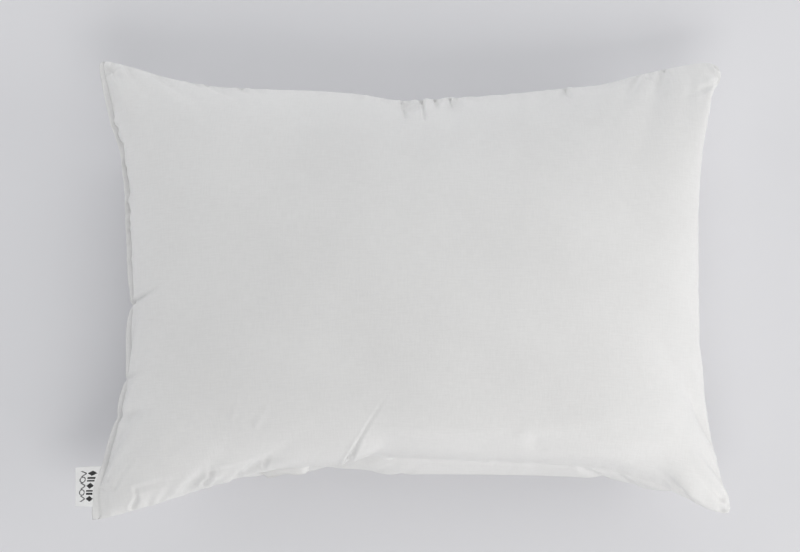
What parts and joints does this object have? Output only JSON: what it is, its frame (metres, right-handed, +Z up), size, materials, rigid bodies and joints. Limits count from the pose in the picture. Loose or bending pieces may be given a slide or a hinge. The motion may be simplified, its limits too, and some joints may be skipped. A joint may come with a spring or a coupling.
{
  "type": "bed pillow",
  "caption": "Soft rectangular bed pillow: a plump filled cotton casing with turned-in seams, an edge-stitched closing side and a folded label that flexes on its sewn edge.",
  "frame": {"origin": "on the surface that the pillow lies on, under the middle of the casing", "axes": "+X along the long sides and away from the closing seam, +Y across the pillow, away from the labels' corner, +Z up through its thickness"},
  "size_m": [0.6904, 0.49, 0.18],
  "materials": {
    "casing_cloth": "matt white cotton percale",
    "fibre_filling": "loose white fibre balls",
    "sewing_thread": "white spun polyester thread",
    "label_ribbon": "white woven ribbon with dark woven marks",
    "care_ribbon": "plain white satin ribbon"
  },
  "bodies": {
    "casing": {"front_panel": "casing_cloth", "back_panel": "casing_cloth", "filling": "fibre_filling", "perimeter_needle_thread": "sewing_thread", "perimeter_looper_thread": "sewing_thread", "overlock_thread": "sewing_thread", "closing_needle_thread": "sewing_thread", "closing_bobbin_thread": "sewing_thread", "size_label_tab": "label_ribbon", "care_label_tab": "care_ribbon"},
    "label": {"size_label": "label_ribbon", "care_label": "care_ribbon"}
  },
  "joints": [
    {"name": "label_flap", "type": "hinge", "parent": "casing", "child": "label", "pos_m": [-0.3376, -0.21, 0.0677], "axis": [0.1978, 0.9756, 0.0956], "range_deg": [-100, 100], "stiffness_Nm_per_rad": 0.00005}
  ]
}
